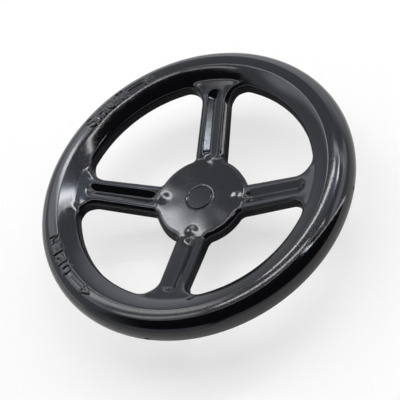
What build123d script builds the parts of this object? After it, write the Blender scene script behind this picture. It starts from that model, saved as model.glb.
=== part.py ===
from build123d import *
import os
from math import asin, atan2, cos, degrees, hypot, radians, sin, tan

os.makedirs("parts", exist_ok=True)

# A pressed-steel handwheel with a turned boss welded behind its hub, in millimetres.
# The wheel's axis is Z and its front faces +Z. It stands on the end of its boss, at Z = 0.
# The sections are drawn with height 0 at the front of the hub plate, and the finished
# pieces are lifted so that the boss stands on Z = 0.

# The sheet and the rolled rim
sheet = 2.0
rim_diameter = 200.0
tube_diameter = 18.7
tube_height = 7.65
tube_shoulder = 63.0
curl_sweep = 223.0

# The flat band on top of the rim, which falls a little outwards and carries the raised words
band_inset = 7.0
band_width = 6.6
band_fall = 0.6
band_bend = 2.0

# The dished middle
hub_plate_radius = 28.5
hub_bend = 2.0
rim_foot_inset = 22.5
rim_foot_height = 13.85
rim_foot_bend = 6.0

# The spokes and the windows between them, measured at the top of the rim
spoke_count = 4
spoke_width = 16.2
window_hub_overlap = 1.0
window_rim_gap = 1.6
window_hub_corner = 5.0
window_rim_corner = 10.5
flange_depth = 7.6
flange_draft = 4.0
edge_bend = 3.2

# The stiffening groove in each spoke, and the dimple at its root
groove_hub_overlap = 0.5
groove_rim_gap = 6.1
groove_width = 9.6
groove_depth = 2.2
groove_root_radius = 1.6
dimple_inset = 3.9
dimple_diameter = 8.4
dimple_depth = 0.8

# Vent holes in the outside of the rim: where round the wheel, and how far below its middle
vent_diameter = 3.6
vent_directions = (0.0, 265.0)
vent_dip = 8.0

# The boss, its blind bore and the weld that holds it
spigot_diameter = 16.0
spigot_edge_radius = 0.8
boss_diameter = 28.0
boss_end_depth = 29.0
boss_chamfer = 1.2
bore_diameter = 14.0
bore_depth = 23.0
bore_chamfer = 0.8
pin_hole_diameter = 5.0
pin_hole_from_end = 8.0
weld_leg = 3.0

# Sizes worked out from the driving ones
tube_radius = tube_diameter / 2
tube_centre_radius = rim_diameter / 2 - tube_radius
shoulder_radius = tube_centre_radius + tube_radius * cos(radians(tube_shoulder))
shoulder_height = tube_height + tube_radius * sin(radians(tube_shoulder))
band_outer_radius = rim_diameter / 2 - band_inset
band_outer_height = shoulder_height + (shoulder_radius - band_outer_radius) / tan(radians(tube_shoulder))
band_inner_radius = band_outer_radius - band_width
rim_top = band_outer_height + band_fall
rim_foot_radius = rim_diameter / 2 - rim_foot_inset
rim_start_radius = (rim_foot_radius + band_inner_radius) / 2
spoke_slope = degrees(atan2(rim_foot_height, rim_foot_radius - hub_plate_radius))
window_hub_radius = hub_plate_radius - window_hub_overlap
window_rim_radius = rim_foot_radius - window_rim_gap
groove_start = hub_plate_radius - groove_hub_overlap
groove_end = rim_foot_radius - groove_rim_gap
dimple_centre_radius = hub_plate_radius - dimple_inset

# How far the pressing tools reach past the sheet
groove_headroom = 1.5
die_top = rim_top + 1
die_depth = boss_end_depth


def front_line():
    """The front of the sheet in section, from the axis to where the rim's tube begins."""
    return FilletPolyline(
        (0, 0),
        (hub_plate_radius, 0),
        (rim_foot_radius, rim_foot_height),
        (band_inner_radius, rim_top),
        (band_outer_radius, band_outer_height),
        (shoulder_radius, shoulder_height),
        radius=(hub_bend, rim_foot_bend, band_bend, band_bend),
    )


def sheet_strip(line, thickness):
    """The strip of the section that lies behind a line, as wide as the sheet is thick."""
    return make_face(line.wire().offset_2d(thickness, side=Side.RIGHT))


def under_front():
    """The section of everything below the front of the sheet, out to where the rim's tube begins."""
    sides = Polyline(
        (shoulder_radius, shoulder_height),
        (shoulder_radius, -die_depth),
        (0, -die_depth),
        (0, 0),
    )
    return make_face(front_line().edges() + sides.edges())


def middle_band():
    """The section of the room that the pressed middle takes, out to where the rim begins."""
    band = Rectangle(rim_start_radius, die_depth + die_top, align=(Align.MIN, Align.MIN))
    return Pos(Y=-die_depth) * band


def spin(section):
    """Turns a section, drawn with radius along X and height along Y, round the wheel's axis."""
    return revolve(Plane.XZ * section, Axis.Z)


def round_the_spokes(shape):
    """Copies of a shape that is drawn on the first spoke, one for each spoke."""
    return [Rot(Z=spoke * 360 / spoke_count) * shape for spoke in range(spoke_count)]


def window_outlines(inset):
    """The outlines of the windows at the top of the die, grown by the inset."""
    field = Circle(window_rim_radius) - Circle(window_hub_radius)
    bar = Rectangle(rim_diameter, spoke_width, align=(Align.MIN, Align.CENTER))
    for spoke_bar in round_the_spokes(bar):
        field -= spoke_bar
    middle = (window_hub_radius + window_rim_radius) / 2
    field = fillet([v for v in field.vertices() if hypot(v.X, v.Y) > middle], window_rim_corner)
    hub_corners = [v for v in field.vertices() if hypot(v.X, v.Y) < window_hub_radius + 0.1]
    field = fillet(hub_corners, window_hub_corner)
    return offset(field, inset) if inset > 0 else field


def groove_cutter(inset):
    """The round-nosed wedge that presses the groove of the first spoke, grown by the inset."""
    half_width = groove_width / 2
    nose_height = groove_root_radius - groove_depth
    wall_angle = asin(groove_root_radius / hypot(half_width, nose_height)) + atan2(-nose_height, half_width)
    nose_radius = groove_root_radius + inset
    tip = (0, nose_height - nose_radius)
    foot = (nose_radius * sin(wall_angle), nose_height - nose_radius * cos(wall_angle))
    brim = (foot[0] + (groove_headroom - foot[1]) / tan(wall_angle), groove_headroom)
    sides = Polyline(foot, brim, (0, groove_headroom), tip)
    half_section = make_face(sides.edges() + RadiusArc(tip, foot, -nose_radius).edges())
    section = half_section + mirror(half_section, Plane.YZ)
    along = cos(radians(spoke_slope))
    first_centre = (groove_start - hub_plate_radius) / along + half_width
    last_centre = (groove_end - hub_plate_radius) / along - half_width
    trough = Pos(X=first_centre) * extrude(Plane.YZ * section, last_centre - first_centre)
    end = spin(half_section)
    cutter = trough + Pos(X=first_centre) * end + Pos(X=last_centre) * end
    return Pos(X=hub_plate_radius) * Rot(Y=-spoke_slope) * cutter


def dimple_cutter(inset):
    """The ball that presses the dimple at the root of the first spoke, grown by the inset."""
    ball_radius = (dimple_diameter ** 2 / 4 + dimple_depth ** 2) / (2 * dimple_depth)
    return Pos(dimple_centre_radius, 0, ball_radius - dimple_depth) * Sphere(ball_radius + inset)


def die_form(inset):
    """The solid that one face of the pressed middle lies on, sunk into the sheet by the inset."""
    section = under_front() & middle_band()
    if inset > 0:
        section -= sheet_strip(front_line(), inset)
    form = spin(section)
    for cutter in round_the_spokes(groove_cutter(inset)) + round_the_spokes(dimple_cutter(inset)):
        form -= cutter
    # the windows narrow away from the front, so they are drawn upwards and turned over
    holes = extrude(window_outlines(inset), amount=die_depth + die_top, taper=flange_draft)
    holes = Pos(Z=die_top) * Rot(X=180) * holes
    pierced = form - holes
    mouths = [e for e in new_edges(form, holes, combined=pierced) if e.center().Z > -sheet - inset]
    return fillet(mouths, edge_bend - inset)


def pressed_middle():
    """Hub plate, spokes and window flanges: the sheet between the two faces of the die."""
    flange_reach = middle_band() - Pos(Y=-flange_depth) * under_front()
    return (die_form(0) - die_form(sheet)) & spin(flange_reach)


def rolled_rim():
    """The rim: the sheet carried on from the spokes' ends and curled round into a tube."""
    curl = CenterArc((tube_centre_radius, tube_height), tube_radius, tube_shoulder, -curl_sweep)
    section = sheet_strip(front_line() + curl, sheet) - middle_band()
    return spin(section)


def vent_drill(direction):
    """The drill for one vent hole, square to the outside of the rim tube."""
    length = tube_radius
    drill = Cylinder(vent_diameter / 2, length, align=(Align.CENTER, Align.CENTER, Align.MIN))
    aim = Pos(tube_centre_radius, 0, tube_height) * Rot(Y=90 + vent_dip) * Pos(Z=length / 2)
    return Rot(Z=direction) * aim * drill


def wheel_pressing():
    """The whole wheel, pressed and rolled from one piece of sheet."""
    wheel = pressed_middle() + rolled_rim()
    wheel -= Cylinder(spigot_diameter / 2, 4 * sheet)
    for direction in vent_directions:
        wheel -= vent_drill(direction)
    return wheel


def hub_boss():
    """The turned boss: a spigot through the hub plate, a shoulder behind it and a blind bore."""
    shoulder = -sheet
    end = -boss_end_depth
    bore_floor = end + bore_depth
    flat_edge = (spigot_diameter / 2 - spigot_edge_radius, 0)
    side_edge = (spigot_diameter / 2, -spigot_edge_radius)
    outline = Polyline(
        side_edge,
        (spigot_diameter / 2, shoulder),
        (boss_diameter / 2, shoulder),
        (boss_diameter / 2, end + boss_chamfer),
        (boss_diameter / 2 - boss_chamfer, end),
        (bore_diameter / 2 + bore_chamfer, end),
        (bore_diameter / 2, end + bore_chamfer),
        (bore_diameter / 2, bore_floor),
        (0, bore_floor),
        (0, 0),
        flat_edge,
    )
    rounded_edge = RadiusArc(flat_edge, side_edge, spigot_edge_radius)
    boss = spin(make_face(outline.edges() + rounded_edge.edges()))
    pin_drill = Pos(Z=end + pin_hole_from_end) * Rot(Y=90) * Cylinder(pin_hole_diameter / 2, boss_diameter)
    return boss - pin_drill


def boss_weld():
    """The fillet weld run round the boss in the corner behind the hub plate."""
    corner = (boss_diameter / 2, -sheet)
    outer_toe = (corner[0] + weld_leg, corner[1])
    lower_toe = (corner[0], corner[1] - weld_leg)
    bead = RadiusArc(outer_toe, lower_toe, 2 * weld_leg)
    return spin(make_face(Polyline(lower_toe, corner, outer_toe).edges() + bead.edges()))


pieces = {
    "wheel_pressing": wheel_pressing(),
    "hub_boss": hub_boss(),
    "boss_weld": boss_weld(),
}
for name, piece in pieces.items():
    export_step(Pos(Z=boss_end_depth) * piece, f"parts/{name}.step")
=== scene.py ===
import bmesh
import bpy
import numpy as np
from mathutils import Euler, Matrix, Vector


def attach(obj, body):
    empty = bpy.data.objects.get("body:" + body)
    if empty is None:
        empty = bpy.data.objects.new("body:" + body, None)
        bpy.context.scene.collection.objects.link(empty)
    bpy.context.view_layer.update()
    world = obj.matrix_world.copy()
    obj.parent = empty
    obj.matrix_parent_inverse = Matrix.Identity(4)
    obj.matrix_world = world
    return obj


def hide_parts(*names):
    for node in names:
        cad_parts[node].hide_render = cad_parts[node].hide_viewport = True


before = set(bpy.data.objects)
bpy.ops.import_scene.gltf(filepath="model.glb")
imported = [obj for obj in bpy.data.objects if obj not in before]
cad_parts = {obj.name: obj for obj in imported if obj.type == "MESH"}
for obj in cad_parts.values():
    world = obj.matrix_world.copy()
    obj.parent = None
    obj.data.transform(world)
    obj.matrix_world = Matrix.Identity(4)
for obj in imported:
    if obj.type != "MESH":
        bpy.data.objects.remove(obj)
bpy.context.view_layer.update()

# The pressed wheel. The real one is a disc of 2 mm steel sheet, drawn into a dish, pierced with
# four flanged windows, stiffened by a groove in each spoke and curled at its edge into a tube.
# It is drawn in millimetres over the front of the hub plate, and lifted onto its boss.
sheet = 2.0
hub_plate_lift = 29.0
hub_plate_radius = 28.5
spigot_radius = 8.0

# The tube of the rim in section, with angles on it counted upwards from its outside
tube_centre = np.array([90.65, 7.65])
tube_radius = 9.35
tube_shoulder = 63
curl_end = -160


def on_tube(degrees):
    """The radius and height of the tube's section, by the angle over its outside."""
    turn = np.radians(degrees)
    return tube_centre + tube_radius * np.stack((np.cos(turn), np.sin(turn)), axis=-1)


# Slope of the front in degrees at radii from the axis to where the tube's round begins: a hub
# plate slightly crowned, straight spokes, a steeper land, and the flat band that has the words
spoke_slope = 16.12
land_slope = 28.0
land_foot = 78.3
shoulder = on_tube(tube_shoulder)
front_slopes = np.array([
    (0, 0),
    (27.9, -1.6),
    (28.7, spoke_slope),
    (76.9, spoke_slope),
    (land_foot, land_slope),
    (84.3, 22.3),
    (86.0, 18.2),
    (86.7, -1.5),
    (92.6, -10.5),
    (93.3, -25.2),
    (shoulder[0], -27.0),
])
sampling = 0.05
front_radii = np.append(np.arange(0, shoulder[0], sampling), shoulder[0])
step_middles = (front_radii[1:] + front_radii[:-1]) / 2
step_slopes = np.radians(np.interp(step_middles, *front_slopes.T))
step_rises = np.tan(step_slopes) * np.diff(front_radii)
front_heights = shoulder[1] - np.append(np.cumsum(step_rises[::-1])[::-1], 0)
front_line = np.column_stack((front_radii, front_heights))
land_foot_height = np.interp(land_foot, *front_line.T)

# Beside the spokes the land runs on inwards to the windows: how far from the spoke's middle and
# from the axis this begins, and where it is complete
land_beside_spoke = (11, 18)
land_inner_part = (62, 70)

# The groove down the middle of a spoke: a shallow V with a round root, round ends and soft brims
groove_half_width = 4.8
groove_depth = 2.2
groove_root = 1.6
groove_wall = np.radians(26.4)
groove_ends = (4.28, 39.72)
root_across = groove_root * np.sin(np.linspace(0, groove_wall, 12))
root_deep = groove_depth - groove_root + np.sqrt(groove_root ** 2 - root_across ** 2)
groove_reach = 8
groove_across = np.arange(-groove_reach, groove_reach + 0.01, sampling)
sharp_groove = np.interp(
    np.abs(groove_across), np.append(root_across, groove_half_width), np.append(root_deep, 0))
softening = np.hanning(31)
groove_section = np.convolve(sharp_groove, softening / softening.sum(), "same")

# The dimple at the hub's end of each groove, and the edge that falls into the spigot's hole
dimple_place = 23.6
dimple_radius = 5.4
dimple_depth = 0.26
hole_edge_width = 0.8
hole_edge_drop = 0.3

# The unevenness that the press leaves: waves round the hub plate, shoulders of the spokes that
# fall away from the groove, and a pucker on each side where a spoke meets the rim
plate_wave_count = 8
plate_wave_height = 0.05
plate_wave_grows = (0, 26)
plate_wave_ends = (hub_plate_radius, 24.5)
spoke_crown = 0.02
spoke_crown_starts = 4.6
spoke_crown_width = 3.5
spoke_crown_grows = (30, 36)
spoke_crown_ends = (74, 68)
pucker_place = (76.3, 14.5)
pucker_reach = 2.6
pucker_depth = 0.16


def ramp(value, low, high):
    """How far a value has come from low to high, held between 0 and 1."""
    return np.clip((value - low) / (high - low), 0, 1)


def soften(share):
    """A share between 0 and 1, with a soft start and end."""
    return share * share * (3 - 2 * share)


def front_height(places):
    """Height of the sheet's front at places in plan, near the spoke that runs along X."""
    x, y = places[..., 0], places[..., 1]
    radius = np.hypot(x, y)
    aside = np.abs(y)
    height = np.interp(radius, *front_line.T)

    land = land_foot_height - np.maximum(land_foot - radius, 0) * np.tan(np.radians(land_slope))
    over_land = np.where(radius < land_foot, np.maximum(height - land, 0), 0)
    height -= over_land * soften(ramp(aside, *land_beside_spoke) * ramp(radius, *land_inner_part))

    along_spoke = (x - hub_plate_radius) / np.cos(np.radians(spoke_slope))
    past_groove = np.maximum(groove_ends[0] - along_spoke, along_spoke - groove_ends[1])
    from_groove = np.hypot(np.maximum(past_groove, 0), y)
    height -= np.interp(from_groove, groove_across, groove_section)

    from_dimple = ramp(np.hypot(x - dimple_place, y), 0, dimple_radius)
    height -= dimple_depth * (1 + np.cos(np.pi * from_dimple)) / 2
    height -= hole_edge_drop * ramp(radius, spigot_radius + hole_edge_width, spigot_radius) ** 2

    waves = plate_wave_height * np.cos(plate_wave_count * np.arctan2(y, x))
    height -= waves * ramp(radius, *plate_wave_grows) ** 3 * ramp(radius, *plate_wave_ends)
    crown = spoke_crown * np.clip(aside - spoke_crown_starts, 0, spoke_crown_width) ** 2
    height -= crown * ramp(radius, *spoke_crown_grows) * ramp(radius, *spoke_crown_ends)
    from_pucker = np.hypot(x - pucker_place[0], aside - pucker_place[1])
    height -= pucker_depth * np.exp(-(from_pucker / pucker_reach) ** 2)
    return height


# The edge of one window from the hub to the rim, along the spoke on X, at the top of the die
spoke_half_width = 8.1
hub_edge, hub_corner = 27.5, 5.0
rim_edge, rim_corner = 75.9, 10.5
rim_start = 81.95
window_middle = 45
hub_corner_y = spoke_half_width + hub_corner
rim_corner_y = spoke_half_width + rim_corner
hub_corner_x = np.sqrt((hub_edge + hub_corner) ** 2 - hub_corner_y ** 2)
rim_corner_x = np.sqrt((rim_edge - rim_corner) ** 2 - rim_corner_y ** 2)
hub_turn = np.degrees(np.arctan2(hub_corner_y, hub_corner_x))
rim_turn = np.degrees(np.arctan2(rim_corner_y, rim_corner_x))


def arc(radius, start, end, count, centre=(0, 0), last=False):
    """Points on an arc, and the ways out from its centre, with or without the last point."""
    turn = np.radians(np.linspace(start, end, count, endpoint=last))
    way = np.column_stack((np.cos(turn), np.sin(turn)))
    return np.array(centre) + radius * way, way


def run(start, end, count):
    """Points on a straight run, without the last one."""
    return np.linspace(start, end, count, endpoint=False)


# Each part of the edge has its points and the ways that lead from them into the sheet
at_hub, from_hub = arc(hub_edge, window_middle, hub_turn, 8)
round_hub, into_hub = arc(hub_corner, 180 + hub_turn, 270, 26, (hub_corner_x, hub_corner_y))
beside_spoke = run((hub_corner_x, spoke_half_width), (rim_corner_x, spoke_half_width), 18)
into_spoke = np.tile((0.0, -1.0), (len(beside_spoke), 1))
round_rim, into_rim = arc(rim_corner, -90, rim_turn, 38, (rim_corner_x, rim_corner_y))
at_rim, from_rim = arc(rim_edge, rim_turn, window_middle, 16, last=True)
window_edge = np.vstack((at_hub, round_hub, beside_spoke, round_rim, at_rim))
into_sheet = np.vstack((-from_hub, into_hub, into_spoke, into_rim, from_rim))

# The line that the sheet runs to from those points: round the spigot's hole, along the middle
# of the spoke and round the start of the rim
sheet_middle = np.vstack((
    arc(spigot_radius, window_middle, 10, 8)[0],
    arc(spigot_radius, 10, 0, 3)[0],
    run((spigot_radius, 0), (hub_corner_x, 0), 23),
    run((hub_corner_x, 0), (rim_corner_x, 0), 18),
    run((rim_corner_x, 0), (rim_start, 0), 26),
    arc(rim_start, 0, rim_turn, 12)[0],
    arc(rim_start, rim_turn, window_middle, 16, last=True)[0],
))

# The flange round the window: its wall leans by the draft, and the bend over it touches both the
# wall and the front. Where it touches the sloping front is found in a few rounds.
flange_depth = 7.6
flange_draft = np.tan(np.radians(4))
die_top = 18.5
edge_bend = 3.2
down_wall = np.array([-flange_draft, -1.0]) / np.hypot(flange_draft, 1)
first_touch, probe = 3.0, 0.1
touch = np.full(len(window_edge), first_touch)
for _ in range(5):
    touch_height = front_height(window_edge + into_sheet * touch[:, None])
    probe_height = front_height(window_edge + into_sheet * (touch + probe)[:, None])
    rise = (probe_height - touch_height) / probe
    corner_height = touch_height - rise * (die_top * flange_draft + touch)
    corner_height /= 1 - rise * flange_draft
    corner_in = -(die_top - corner_height) * flange_draft
    up_front = np.column_stack((np.ones_like(rise), rise)) / np.hypot(1, rise)[:, None]
    half_corner = np.arccos(up_front @ down_wall) / 2
    bend_length = edge_bend / np.tan(half_corner)
    touch = corner_in + bend_length * up_front[:, 0]
corner = np.column_stack((corner_in, corner_height))
wall_touch = corner + bend_length[:, None] * down_wall
front_touch = corner + bend_length[:, None] * up_front
to_centre = up_front + down_wall
to_centre /= np.linalg.norm(to_centre, axis=1)[:, None]
bend_centre = corner + to_centre * (edge_bend / np.sin(half_corner))[:, None]
flange_foot_height = touch_height - flange_depth
flange_foot = np.column_stack((-(die_top - flange_foot_height) * flange_draft, flange_foot_height))

# One eighth of the wheel's middle, row by row: up the flange, over the bend, then to the middle
flange_rows = [flange_foot + share * (wall_touch - flange_foot) for share in run(0, 1, 3)]
for share in run(0, 1, 7):
    way = (1 - share) * (wall_touch - bend_centre) + share * (front_touch - bend_centre)
    flange_rows.append(bend_centre + edge_bend * way / np.linalg.norm(way, axis=1)[:, None])
eighth = [np.column_stack((window_edge + into_sheet * row[:, :1], row[:, 1])) for row in flange_rows]
front_start = window_edge + into_sheet * front_touch[:, :1]
front_shares = (0, 0.08, 0.16, 0.24, 0.32, 0.4, 0.48, 0.56, 0.64, 0.72, 0.8, 0.87, 0.92, 0.95, 0.975, 1)
for share in front_shares:
    row = front_start + share * (sheet_middle - front_start)
    eighth.append(np.column_stack((row, front_height(row))))
eighth = np.array(eighth)

# The rim in section, from the ends of the spokes round the tube to the end of the curl
band_inner = 86.4
band_middle = 90.0
land_line = front_line[front_line[:, 0] > rim_start]
rim_foot = (rim_start, np.interp(rim_start, *front_line.T))
rim_line = np.vstack((rim_foot, land_line[:-1], on_tube(np.arange(tube_shoulder, curl_end - 1, -1))))
rim_run = np.append(0, np.cumsum(np.linalg.norm(np.diff(rim_line, axis=0), axis=1)))
band_run = np.interp(band_inner, rim_line[:len(land_line) + 1, 0], rim_run[:len(land_line) + 1])
shoulder_run = rim_run[len(land_line)]

# The two vent holes in the outside of the tube, and the parts of the band that have words
vent_radius = 1.8
vent_dip = 8.0
vent_directions = (0.0, 265.0)
vent_from_axis = 99.9
vent_run = shoulder_run + np.radians(tube_shoulder + vent_dip) * tube_radius
vent_cells = 8
vent_cell = vent_radius / 4
vent_reach = vent_cells * vent_cell
vent_turn = np.degrees(vent_reach / vent_from_axis)
word_ranges = ((116.5, 152.0), (203.5, 239.5))
letter_height = 6.6
stroke_edge = 0.8
word_cell, word_edge_cell = 0.42, 0.27
word_step = np.degrees(word_cell / band_middle)


def grid_lines(stops):
    """Places of grid lines: each stop is a place and the widest step allowed on the way to it."""
    places = [stops[0][0]]
    for place, step in stops[1:]:
        count = int(np.ceil((place - places[-1]) / step - 0.01))
        places.extend(np.linspace(places[-1], place, count + 1)[1:])
    return np.array(places)


# The rim's grid: angle round the wheel against distance along the section, with its lines closer
# at the words and vents. Round each vent the square cells are drawn into a circle.
rim_turns = grid_lines((
    (-vent_turn, 2),
    (vent_turn, vent_turn / vent_cells),
    (word_ranges[0][0], 2),
    (word_ranges[0][1], word_step),
    (word_ranges[1][0], 2),
    (word_ranges[1][1], word_step),
    (vent_directions[1] - vent_turn, 2),
    (vent_directions[1] + vent_turn, vent_turn / vent_cells),
    (360 - vent_turn, 2),
))[:-1]
strip_width = 0.7
rim_distances = grid_lines((
    (strip_width, 1),
    (band_run - stroke_edge, 1.2),
    (band_run + stroke_edge, word_edge_cell),
    (band_run + letter_height - stroke_edge, word_cell),
    (band_run + letter_height + stroke_edge, word_edge_cell),
    (shoulder_run, word_cell),
    (vent_run - vent_reach, 1.3),
    (vent_run + vent_reach, vent_cell),
    (rim_run[-1], 2.6),
))
turn, distance = np.meshgrid(rim_turns, rim_distances)
vent_square = np.full(turn.shape, np.inf)
for direction in vent_directions:
    across = np.radians((turn - direction + 180) % 360 - 180) * vent_from_axis
    down = distance - vent_run
    square = np.maximum(np.abs(across), np.abs(down))
    near = (square < vent_reach - 0.01) & (square > 0.01)
    rounded = square[near] / np.hypot(across[near], down[near])
    move = ramp(square[near], vent_reach, vent_radius) * (rounded - 1)
    turn[near] += np.degrees(across[near] * move / vent_from_axis)
    distance[near] += down[near] * move
    vent_square = np.minimum(vent_square, square)
rim_way = np.gradient(rim_line, rim_run, axis=0)
rim_way /= np.linalg.norm(rim_way, axis=1)[:, None]


def round_the_wheel(section):
    """Places round the wheel, or ways, from a section's radial and upward parts at the rim's grid."""
    radial = np.interp(distance, rim_run, section[:, 0])
    upward = np.interp(distance, rim_run, section[:, 1])
    return np.stack((radial * np.cos(np.radians(turn)), radial * np.sin(np.radians(turn)), upward), axis=-1)


rim = round_the_wheel(rim_line)
out_of_rim = round_the_wheel(np.column_stack((-rim_way[:, 1], rim_way[:, 0])))

# The raised words and arrows, drawn as pen strokes in a box one wide and one high. They are
# pressed up from behind, so the sheet rises over each stroke with a soft shoulder.
letter_width = 4.9
arrow_length = 18.0
stroke_core = 0.25
stroke_height = 0.7
o_turn = np.radians(np.linspace(90, 450, 17))
strokes = {
    "O": [[tuple(place) for place in 0.5 + 0.5 * np.column_stack((np.cos(o_turn), np.sin(o_turn)))]],
    "P": [[(0, 0), (0, 1), (0.7, 1), (1, 0.86), (1, 0.62), (0.7, 0.47), (0, 0.47)]],
    "E": [[(1, 0), (0, 0), (0, 1), (1, 1)], [(0, 0.5), (0.85, 0.5)]],
    "N": [[(0, 0), (0, 1), (1, 0), (1, 1)]],
    "S": [[(1, 0.84), (0.75, 1), (0.25, 1), (0, 0.84), (0.05, 0.62), (0.95, 0.38), (1, 0.16),
           (0.75, 0), (0.25, 0), (0, 0.16)]],
    "H": [[(0, 0), (0, 1)], [(1, 0), (1, 1)], [(0, 0.5), (1, 0.5)]],
    "U": [[(0, 1), (0, 0.25), (0.25, 0), (0.75, 0), (1, 0.25), (1, 1)]],
    "T": [[(0, 1), (1, 1)], [(0.5, 1), (0.5, 0)]],
    "arrow": [[(0, 0.5), (0.75, 0.5)], [(0.66, 0.92), (1, 0.5), (0.66, 0.08), (0.66, 0.92)],
              [(0.72, 0.7), (0.9, 0.5), (0.72, 0.3)]],
}

# Each sign has its direction from the axis and its width, and 1 if it reads clockwise or -1
signs = (
    ("O", 222.0, letter_width, 1),
    ("P", 216.6, letter_width, 1),
    ("E", 211.2, letter_width, 1),
    ("N", 206.0, letter_width, 1),
    ("arrow", 232.2, arrow_length, -1),
    ("S", 149.5, letter_width, 1),
    ("H", 144.1, letter_width, 1),
    ("U", 138.7, letter_width, 1),
    ("T", 133.3, letter_width, 1),
    ("arrow", 124.0, arrow_length, 1),
)


def gap_to_stroke(u, v, stroke):
    """Distance from points to a stroke, all in millimetres."""
    gap = np.full(u.shape, np.inf)
    for start, end in zip(stroke, stroke[1:]):
        run_u, run_v = end[0] - start[0], end[1] - start[1]
        share = ((u - start[0]) * run_u + (v - start[1]) * run_v) / (run_u ** 2 + run_v ** 2)
        share = np.clip(share, 0, 1)
        gap = np.minimum(gap, np.hypot(u - start[0] - share * run_u, v - start[1] - share * run_v))
    return gap


raised = np.zeros(turn.shape)
for sign, direction, width, reads in signs:
    clockwise = np.radians((direction - turn + 180) % 360 - 180) * band_middle
    u = reads * clockwise + width / 2
    v = distance - band_run
    for stroke in strokes[sign]:
        drawn = [(x * width, y * letter_height) for x, y in stroke]
        fall = soften(ramp(gap_to_stroke(u, v, drawn), stroke_core, stroke_edge))
        raised = np.maximum(raised, stroke_height * (1 - fall))

# One mesh of the sheet's front: eight turned and mirrored eighths, the rim, and a strip of
# triangles between them
sheet_front = bmesh.new()


def add_grid(points, closed, left_out=None):
    """Adds the faces of a grid of points, closed into a ring or not, and returns its vertices."""
    rows, columns = points.shape[:2]
    corners = [[sheet_front.verts.new((x / 1000, y / 1000, (z + hub_plate_lift) / 1000)) for x, y, z in row]
               for row in points]
    for r in range(rows - 1):
        for c in range(columns if closed else columns - 1):
            n = (c + 1) % columns
            if left_out is None or not left_out[r][c]:
                sheet_front.faces.new((corners[r][c], corners[r + 1][c], corners[r + 1][n], corners[r][n]))
    return corners


same_place = 1e-6
for spoke in range(4):
    turned_by = np.radians(90 * spoke)
    for side in (1, -1):
        x, y, z = eighth[..., 0], side * eighth[..., 1], eighth[..., 2]
        turned_x = x * np.cos(turned_by) - y * np.sin(turned_by)
        turned_y = x * np.sin(turned_by) + y * np.cos(turned_by)
        turned = np.stack((turned_x, turned_y, z), axis=-1)
        add_grid(turned[:, ::side], False)
bmesh.ops.remove_doubles(sheet_front, verts=sheet_front.verts, dist=same_place)


def turn_of(vertex):
    """Angle of a vertex round the wheel."""
    return np.arctan2(vertex.co.y, vertex.co.x) % (2 * np.pi)


def on_ring(ring, index):
    """The vertex of a ring by its index, and its angle counted on past a full turn."""
    vertex = ring[index % len(ring)]
    return vertex, turn_of(vertex) + 2 * np.pi * (index // len(ring))


spoke_ring = [
    vertex for vertex in sheet_front.verts
    if abs(np.hypot(vertex.co.x, vertex.co.y) - rim_start / 1000) < same_place
]
spoke_ring.sort(key=turn_of)
next_square = np.roll(vent_square, -1, axis=1)
cell_square = np.maximum.reduce([vent_square[:-1], vent_square[1:], next_square[:-1], next_square[1:]])
rim_vertices = add_grid(rim, True, cell_square < vent_radius + 0.01)
rim_ring = sorted(rim_vertices[0], key=turn_of)
i = j = 0
while i < len(spoke_ring) or j < len(rim_ring):
    corners = [on_ring(spoke_ring, i)[0], on_ring(rim_ring, j)[0]]
    next_spoke, spoke_turn = on_ring(spoke_ring, i + 1)
    next_rim, rim_ring_turn = on_ring(rim_ring, j + 1)
    if j >= len(rim_ring) or (i < len(spoke_ring) and spoke_turn < rim_ring_turn):
        i += 1
        sheet_front.faces.new((*corners, next_spoke))
    else:
        j += 1
        sheet_front.faces.new((*corners, next_rim))

# Solidify gives the sheet its thickness and its back, and then the words are raised on its front
sheet_front.verts.index_update()
rim_indices = [[v.index for v in row] for row in rim_vertices]
front_mesh = bpy.data.meshes.new("wheel_front")
sheet_front.to_mesh(front_mesh)
sheet_front.free()
wheel_object = bpy.data.objects.new("pressed_wheel", front_mesh)
bpy.context.scene.collection.objects.link(wheel_object)
thicken = wheel_object.modifiers.new("sheet", "SOLIDIFY")
thicken.thickness = sheet / 1000
thicken.offset = -1
thicken.use_even_offset = True
thicken.use_quality_normals = True
evaluated = wheel_object.evaluated_get(bpy.context.evaluated_depsgraph_get())
wheel_mesh = bpy.data.meshes.new_from_object(evaluated)
wheel_object.modifiers.clear()
wheel_object.data = wheel_mesh
for indices, heights, ways in zip(rim_indices, raised, out_of_rim):
    for index, height, way in zip(indices, heights, ways):
        if height > 0:
            wheel_mesh.vertices[index].co += Vector(way) * height / 1000
for polygon in wheel_mesh.polygons:
    polygon.use_smooth = True
crease_angle = 50
wheel_mesh.set_sharp_from_angle(angle=np.radians(crease_angle))


def linear(hex_colour):
    """A colour written as sRGB hex, turned to the linear values that shaders take."""
    parts = [int(hex_colour[i:i + 2], 16) / 255 for i in (1, 3, 5)]
    return tuple(p / 12.92 if p <= 0.04045 else ((p + 0.055) / 1.055) ** 2.4 for p in parts) + (1,)


def add_node(tree, kind, settings=None, inputs=None):
    """Adds a shader node with its settings, and sets or links its inputs."""
    node = tree.nodes.new(kind)
    for name, value in (settings or {}).items():
        setattr(node, name, value)
    for name, value in (inputs or {}).items():
        if isinstance(value, bpy.types.NodeSocket):
            tree.links.new(value, node.inputs[name])
        else:
            node.inputs[name].default_value = value
    return node


def new_material(name):
    """A new material without nodes, and its node tree."""
    material = bpy.data.materials.new(name)
    material.use_nodes = True
    material.node_tree.nodes.clear()
    return material, material.node_tree


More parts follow.
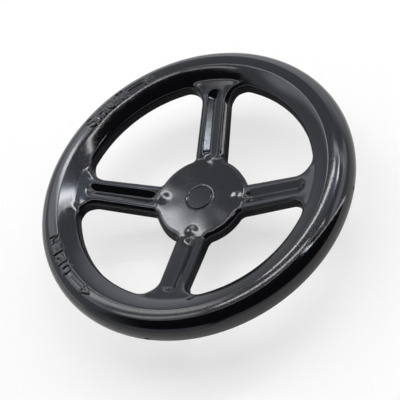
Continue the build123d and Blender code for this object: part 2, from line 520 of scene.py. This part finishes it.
# Black stoving enamel, sprayed and baked: a deep gloss that shows the studio, broken by the
# fine waves of orange peel, about 2 mm long, and by a few dust nibs, under a millimetre across
enamel_colour = linear("#08080a")
enamel_ior = 1.52
enamel_roughness = 0.08
peel_length = 0.0022
nib_spacing = 0.0007
black_enamel, tree = new_material("black_stoving_enamel")
place = add_node(tree, "ShaderNodeTexCoord").outputs["Object"]
peel = add_node(tree, "ShaderNodeTexNoise", inputs={
    "Vector": place, "Scale": 1 / peel_length, "Detail": 2.0})
nibs = add_node(tree, "ShaderNodeTexNoise", inputs={
    "Vector": place, "Scale": 1 / nib_spacing, "Detail": 0.0})
nib_tops = add_node(tree, "ShaderNodeMapRange", inputs={
    "Value": nibs.outputs["Fac"], "From Min": 0.66, "From Max": 0.8})
peel_bump = add_node(tree, "ShaderNodeBump", inputs={
    "Height": peel.outputs["Fac"], "Strength": 0.012, "Distance": 0.00025})
nib_bump = add_node(tree, "ShaderNodeBump", inputs={
    "Height": nib_tops.outputs["Result"], "Strength": 0.12, "Distance": 0.00006,
    "Normal": peel_bump.outputs["Normal"]})
enamel = add_node(tree, "ShaderNodeBsdfPrincipled", inputs={
    "Base Color": enamel_colour, "Roughness": enamel_roughness, "IOR": enamel_ior,
    "Normal": nib_bump.outputs["Normal"]})
add_node(tree, "ShaderNodeOutputMaterial", inputs={"Surface": enamel.outputs["BSDF"]})
wheel_mesh.materials.clear()
wheel_mesh.materials.append(black_enamel)

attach(wheel_object, "root")
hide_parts("wheel_pressing")

# The boss. The photo shows only its spigot, which fills the hole in the hub plate. The rest is
# of the usual kind: turned from steel bar, with a blind bore for the shaft, and enamelled with
# the wheel once its weld is run. The bore is left bare so that it fits its shaft.
bore_radius = 7.0
bore_floor = 23.0
bare_past_wall, bare_past_floor = 0.4, 0.5
painted_boss, tree = new_material("painted_boss_with_bare_bore")
place = add_node(tree, "ShaderNodeTexCoord").outputs["Object"]
in_plan = add_node(tree, "ShaderNodeVectorMath", {"operation": "MULTIPLY"}, {
    0: place, 1: (1, 1, 0)}).outputs["Vector"]
from_axis = add_node(tree, "ShaderNodeVectorMath", {"operation": "LENGTH"}, {0: in_plan}).outputs["Value"]
level = add_node(tree, "ShaderNodeSeparateXYZ", inputs={0: place}).outputs["Z"]
in_bore = add_node(tree, "ShaderNodeMath", {"operation": "LESS_THAN"}, {
    0: from_axis, 1: (bore_radius + bare_past_wall) / 1000}).outputs["Value"]
below_floor = add_node(tree, "ShaderNodeMath", {"operation": "LESS_THAN"}, {
    0: level, 1: (bore_floor + bare_past_floor) / 1000}).outputs["Value"]
bare = add_node(tree, "ShaderNodeMath", {"operation": "MULTIPLY"}, {
    0: in_bore, 1: below_floor}).outputs["Value"]

# Bored steel: a grey mirror blurred by the fine rings that the boring tool leaves. Real ones are
# about 0.2 mm apart, and these are 0.38 mm apart so that they show. The wave texture repeats at
# 0.314 of the length given here.
ring_wave_length = 0.0012
rings = add_node(tree, "ShaderNodeTexWave", {"bands_direction": "Z"}, {
    "Vector": place, "Scale": 1 / ring_wave_length, "Distortion": 0.4, "Detail": 1.0})
ring_bump = add_node(tree, "ShaderNodeBump", inputs={
    "Height": rings.outputs["Fac"], "Strength": 0.3, "Distance": 0.00001})
steel = add_node(tree, "ShaderNodeBsdfPrincipled", inputs={
    "Base Color": linear("#a9a8a5"), "Metallic": 1.0, "Roughness": 0.32,
    "Normal": ring_bump.outputs["Normal"]})
peel = add_node(tree, "ShaderNodeTexNoise", inputs={
    "Vector": place, "Scale": 1 / peel_length, "Detail": 2.0})
peel_bump = add_node(tree, "ShaderNodeBump", inputs={
    "Height": peel.outputs["Fac"], "Strength": 0.03, "Distance": 0.00025})
enamel = add_node(tree, "ShaderNodeBsdfPrincipled", inputs={
    "Base Color": enamel_colour, "Roughness": enamel_roughness, "IOR": enamel_ior,
    "Normal": peel_bump.outputs["Normal"]})
both = add_node(tree, "ShaderNodeMixShader", inputs={
    0: bare, 1: enamel.outputs["BSDF"], 2: steel.outputs["BSDF"]})
add_node(tree, "ShaderNodeOutputMaterial", inputs={"Surface": both.outputs["Shader"]})
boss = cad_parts["hub_boss"]
boss.data.materials.clear()
boss.data.materials.append(painted_boss)

# The weld. The photo doesn't show what holds the boss, so this is the usual fillet of steel, run
# round it behind the hub plate. Its ripples show through the stoving enamel, which is a little
# less smooth on them.
ripple_count = 70
painted_weld, tree = new_material("painted_weld_bead")
place = add_node(tree, "ShaderNodeTexCoord").outputs["Object"]
around = add_node(tree, "ShaderNodeTexGradient", {"gradient_type": "RADIAL"}, {
    "Vector": place}).outputs["Fac"]
swing = add_node(tree, "ShaderNodeMath", {"operation": "MULTIPLY"}, {
    0: around, 1: 2 * np.pi * ripple_count}).outputs["Value"]
ripple = add_node(tree, "ShaderNodeMath", {"operation": "SINE"}, {0: swing}).outputs["Value"]
ripple_bump = add_node(tree, "ShaderNodeBump", inputs={
    "Height": ripple, "Strength": 0.5, "Distance": 0.0002})
enamel = add_node(tree, "ShaderNodeBsdfPrincipled", inputs={
    "Base Color": enamel_colour, "Roughness": 0.12, "IOR": enamel_ior,
    "Normal": ripple_bump.outputs["Normal"]})
add_node(tree, "ShaderNodeOutputMaterial", inputs={"Surface": enamel.outputs["BSDF"]})
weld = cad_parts["boss_weld"]
weld.data.materials.clear()
weld.data.materials.append(painted_weld)

# The table. A level board with white matt paint. Where the camera or a reflection sees it, about
# two thirds of its white is its own light, so that it comes out white and keeps a soft shadow.
# Close under the wheel, reflections see a painted shadow: a dim grey that stands in for the shade a wheel
# lying on it would leave.
table_half = 3.0
own_light = 0.64
painted_shadow_outer, painted_shadow_inner = 0.125, 0.09
table_mesh = bpy.data.meshes.new("table")
table_corners = [(x * table_half, y * table_half, 0) for x, y in ((-1, -1), (1, -1), (1, 1), (-1, 1))]
table_mesh.from_pydata(table_corners, [], [(0, 1, 2, 3)])
table = bpy.data.objects.new("table", table_mesh)
bpy.context.scene.collection.objects.link(table)
white_table, tree = new_material("white_table")
matt = add_node(tree, "ShaderNodeBsdfDiffuse", inputs={"Color": linear("#fffaf2")})
glow = add_node(tree, "ShaderNodeEmission", inputs={"Strength": 1.0})
lit = add_node(tree, "ShaderNodeMixShader", inputs={
    0: own_light, 1: matt.outputs["BSDF"], 2: glow.outputs["Emission"]})
# Painted shadow: the grey that reflections see on the table close under the wheel, in place of its shade
painted_shadow_grey = add_node(tree, "ShaderNodeBsdfDiffuse", inputs={"Color": linear("#8c8c8c")})
rays = add_node(tree, "ShaderNodeLightPath")
seen = add_node(tree, "ShaderNodeMath", {"operation": "MAXIMUM"}, {
    0: rays.outputs["Is Camera Ray"], 1: rays.outputs["Is Glossy Ray"]}).outputs["Value"]
open_table = add_node(tree, "ShaderNodeMixShader", inputs={
    0: seen, 1: matt.outputs["BSDF"], 2: lit.outputs["Shader"]})
place = add_node(tree, "ShaderNodeTexCoord").outputs["Object"]
from_axis = add_node(tree, "ShaderNodeVectorMath", {"operation": "LENGTH"}, {0: place}).outputs["Value"]
# Painted shadow, seen by reflections only: full within the inner radius, fading out to the outer one
painted_shadow_share = add_node(tree, "ShaderNodeMapRange", {"interpolation_type": "SMOOTHSTEP"}, {
    "Value": from_axis, "From Min": painted_shadow_outer, "From Max": painted_shadow_inner,
    "To Max": rays.outputs["Is Glossy Ray"]}).outputs["Result"]
whole_table = add_node(tree, "ShaderNodeMixShader", inputs={
    0: painted_shadow_share, 1: open_table.outputs["Shader"], 2: painted_shadow_grey.outputs["BSDF"]})
add_node(tree, "ShaderNodeOutputMaterial", inputs={"Surface": whole_table.outputs["Shader"]})
table_mesh.materials.append(white_table)

# The walls of the studio. The world stands for their even white cloth, which is brighter at the
# back and has two dark parts: the side that the camera stands on, and a slot between the tubes.
# The camera itself sees plain white.
dark_light, wall_light, back_light = 0.03, 0.8, 1.75
back_starts, back_complete = 0.78, 0.93
studio = bpy.data.worlds.new("studio")
bpy.context.scene.world = studio
studio.use_nodes = True
tree = studio.node_tree
tree.nodes.clear()
way = add_node(tree, "ShaderNodeTexCoord").outputs["Generated"]


def dark_patch(sides):
    """How far a direction points into a dark part, by its planes and where each fades in."""
    inside = None
    for facing, starts, ends in sides:
        lean = add_node(tree, "ShaderNodeVectorMath", {"operation": "DOT_PRODUCT"}, {0: way, 1: facing})
        past = add_node(tree, "ShaderNodeMapRange", {"interpolation_type": "SMOOTHSTEP"}, {
            "Value": lean.outputs["Value"], "From Min": starts, "From Max": ends}).outputs["Result"]
        inside = past if inside is None else add_node(
            tree, "ShaderNodeMath", {"operation": "MULTIPLY"}, {0: inside, 1: past}).outputs["Value"]
    return inside


camera_side = dark_patch((
    ((0.32, -0.94, -0.02), -0.03, 0.03),
    ((1.0, 0.0, 0.0), -0.95, -0.5),
    ((0.10, 0.32, 0.94), -0.02, 0.15),
))
between_tubes = dark_patch((
    ((0.0, -0.985, 0.174), -0.02, 0.02),
    ((1.0, 0.0, 0.0), 0.02, 0.12),
    ((-0.65, 0.0, 0.76), 0.0, 0.15),
))
dark = add_node(tree, "ShaderNodeMath", {"operation": "MAXIMUM"}, {
    0: camera_side, 1: between_tubes}).outputs["Value"]
backward = add_node(tree, "ShaderNodeVectorMath", {"operation": "DOT_PRODUCT"}, {
    0: way, 1: (0.0, 1.0, 0.0)}).outputs["Value"]
wall = add_node(tree, "ShaderNodeMapRange", {"interpolation_type": "SMOOTHSTEP"}, {
    "Value": backward, "From Min": back_starts, "From Max": back_complete,
    "To Min": wall_light, "To Max": back_light}).outputs["Result"]
light = add_node(tree, "ShaderNodeMapRange", inputs={
    "Value": dark, "To Min": wall, "To Max": dark_light}).outputs["Result"]
cloth = add_node(tree, "ShaderNodeBackground", inputs={"Color": linear("#eef2fd"), "Strength": light})
backdrop = add_node(tree, "ShaderNodeBackground", inputs={"Color": linear("#ffffff"), "Strength": 1.0})
seen = add_node(tree, "ShaderNodeLightPath").outputs["Is Camera Ray"]
walls = add_node(tree, "ShaderNodeMixShader", inputs={
    0: seen, 1: cloth.outputs["Background"], 2: backdrop.outputs["Background"]})
add_node(tree, "ShaderNodeOutputWorld", inputs={"Surface": walls.outputs["Shader"]})

# The lamps: light tubes, soft boxes and the tent round them. Each is a plane of thin diffusing
# cloth that faces the wheel, glows along a line and fades out beside it. They are meshes with
# an emission material, so that their edges are soft in the enamel.
panel_distance = 2.5


def sky_way(place):
    """The direction of a place in the sky, given in right angles from overhead."""
    tilt = np.hypot(*place) * np.pi / 2
    turn = np.arctan2(place[1], place[0])
    return Vector((np.sin(tilt) * np.cos(turn), np.sin(tilt) * np.sin(turn), np.cos(tilt)))


def add_panel(name, start, end, core, glow, radiance, colour):
    """Adds cloth that glows from start to end in the sky, with the widths of its core and glow."""
    first, last = sky_way(start), sky_way(end)
    middle = (first + last).normalized()
    along = (last - first).normalized()
    half_line = panel_distance * np.tan(first.angle(last) / 2)
    half_core = core * panel_distance * np.pi / 4
    half_glow = glow * panel_distance * np.pi / 4
    x, y = half_line + half_glow, half_glow
    panel_mesh = bpy.data.meshes.new(name)
    panel_mesh.from_pydata([(-x, -y, 0), (x, -y, 0), (x, y, 0), (-x, y, 0)], [], [(0, 3, 2, 1)])
    panel = bpy.data.objects.new(name, panel_mesh)
    panel.location = middle * panel_distance
    panel.rotation_euler = Matrix((along, middle.cross(along), middle)).transposed().to_euler()
    bpy.context.scene.collection.objects.link(panel)

    diffuser, tree = new_material(name)
    place = add_node(tree, "ShaderNodeTexCoord").outputs["Object"]
    aside = add_node(tree, "ShaderNodeVectorMath", {"operation": "ABSOLUTE"}, {0: place}).outputs["Vector"]
    past_line = add_node(tree, "ShaderNodeVectorMath", {"operation": "SUBTRACT"}, {
        0: aside, 1: (half_line, 0, 0)}).outputs["Vector"]
    past_line = add_node(tree, "ShaderNodeVectorMath", {"operation": "MAXIMUM"}, {
        0: past_line, 1: (0, 0, 0)}).outputs["Vector"]
    gap = add_node(tree, "ShaderNodeVectorMath", {"operation": "LENGTH"}, {0: past_line}).outputs["Value"]
    strength = add_node(tree, "ShaderNodeMapRange", {"interpolation_type": "SMOOTHSTEP"}, {
        "Value": gap, "From Min": half_glow, "From Max": half_core, "To Max": radiance}).outputs["Result"]
    glowing = add_node(tree, "ShaderNodeEmission", inputs={"Color": linear(colour), "Strength": strength})
    clear = add_node(tree, "ShaderNodeBsdfTransparent")
    both = add_node(tree, "ShaderNodeAddShader", inputs={
        0: glowing.outputs["Emission"], 1: clear.outputs["BSDF"]})
    add_node(tree, "ShaderNodeOutputMaterial", inputs={"Surface": both.outputs["Shader"]})
    panel_mesh.materials.append(diffuser)


for panel in (
    ("tent_left", (-0.46, 0.05), (-0.46, 0.42), 0.06, 0.26, 1.7, "#f0f4ff"),
    ("tent_right", (0.50, 0.24), (0.46, 0.50), 0.16, 0.30, 1.5, "#e8eeff"),
    ("tent_low_left", (-0.90, -0.30), (-0.90, 0.34), 0.05, 0.17, 0.9, "#f4f6ff"),
    ("tent_high_right", (0.28, 0.45), (0.42, 0.44), 0.02, 0.09, 1.9, "#eef2ff"),
    ("tent_middle", (-0.05, 0.30), (0.15, 0.30), 0.02, 0.16, 0.5, "#c8dcff"),
    ("lamp_left_a", (-0.42, 0.36), (-0.278, 0.268), 0.020, 0.060, 6.0, "#ffffff"),
    ("lamp_left_glow", (-0.42, 0.36), (-0.270, 0.272), 0.0, 0.10, 4.0, "#f0f4ff"),
    ("lamp_left_b", (-0.40, 0.17), (-0.24, 0.19), 0.02, 0.10, 4.2, "#ffffff"),
    ("lamp_left_c", (-0.34, 0.07), (-0.22, 0.09), 0.01, 0.07, 3.4, "#ffffff"),
    ("lamp_left_d", (-0.30, -0.045), (-0.17, -0.03), 0.01, 0.04, 4.0, "#ffffff"),
    ("tube_far_a", (-0.18, 0.25), (-0.06, 0.355), 0.012, 0.036, 15.0, "#ffffff"),
    ("tube_far_b", (0.04, 0.350), (0.24, 0.352), 0.012, 0.072, 14.0, "#ffffff"),
    ("tube_far_c", (0.12, 0.395), (0.21, 0.405), 0.0, 0.055, 9.0, "#ffffff"),
    ("tube_far_d", (-0.06, 0.388), (0.10, 0.392), 0.004, 0.035, 6.0, "#e8f0ff"),
    ("tube_far_glow", (0.03, 0.34), (0.22, 0.345), 0.01, 0.11, 4.0, "#d0deff"),
    ("tube_middle_a", (-0.18, 0.125), (-0.04, 0.205), 0.010, 0.032, 13.0, "#ffffff"),
    ("tube_middle_b", (-0.005, 0.012), (0.105, 0.12), 0.008, 0.030, 12.0, "#ffffff"),
    ("tube_middle_c", (0.10, 0.14), (0.21, 0.14), 0.010, 0.036, 10.0, "#ffffff"),
    ("tube_middle_d", (0.27, 0.145), (0.30, 0.145), 0.010, 0.036, 12.0, "#ffffff"),
    ("tube_near_a", (-0.14, -0.01), (-0.02, 0.01), 0.008, 0.030, 9.0, "#ffffff"),
    ("tube_near_b", (0.258, 0.024), (0.32, 0.035), 0.014, 0.034, 17.0, "#e8f0ff"),
    ("tube_near_c", (0.32, 0.04), (0.70, 0.18), 0.010, 0.034, 7.0, "#ffffff"),
    ("tube_near_d", (0.70, 0.18), (1.0, 0.42), 0.012, 0.045, 8.0, "#ffffff"),
):
    add_panel(*panel)

# The camera. It stands at the photo's viewing angle, with the long lens that a camera fitted to
# the photo gave, and is rolled so that the wheel is turned in the frame as it is there.
camera_place = Vector((0.40063, -0.48635, 0.81158))
camera_aim = Vector((0.00086, -0.00203, 0.029))
camera_roll = -33.59
camera_data = bpy.data.cameras.new("camera")
camera_data.lens = 149.4
camera_data.sensor_width = 36
camera_data.clip_start = 0.05
camera_data.clip_end = 20
camera = bpy.data.objects.new("camera", camera_data)
camera.location = camera_place
camera.rotation_mode = "QUATERNION"
look = (camera_aim - camera_place).to_track_quat("-Z", "Y")
camera.rotation_quaternion = look @ Euler((0, 0, np.radians(camera_roll))).to_quaternion()
bpy.context.scene.collection.objects.link(camera)
bpy.context.scene.camera = camera
bpy.context.scene.view_settings.view_transform = "Standard"
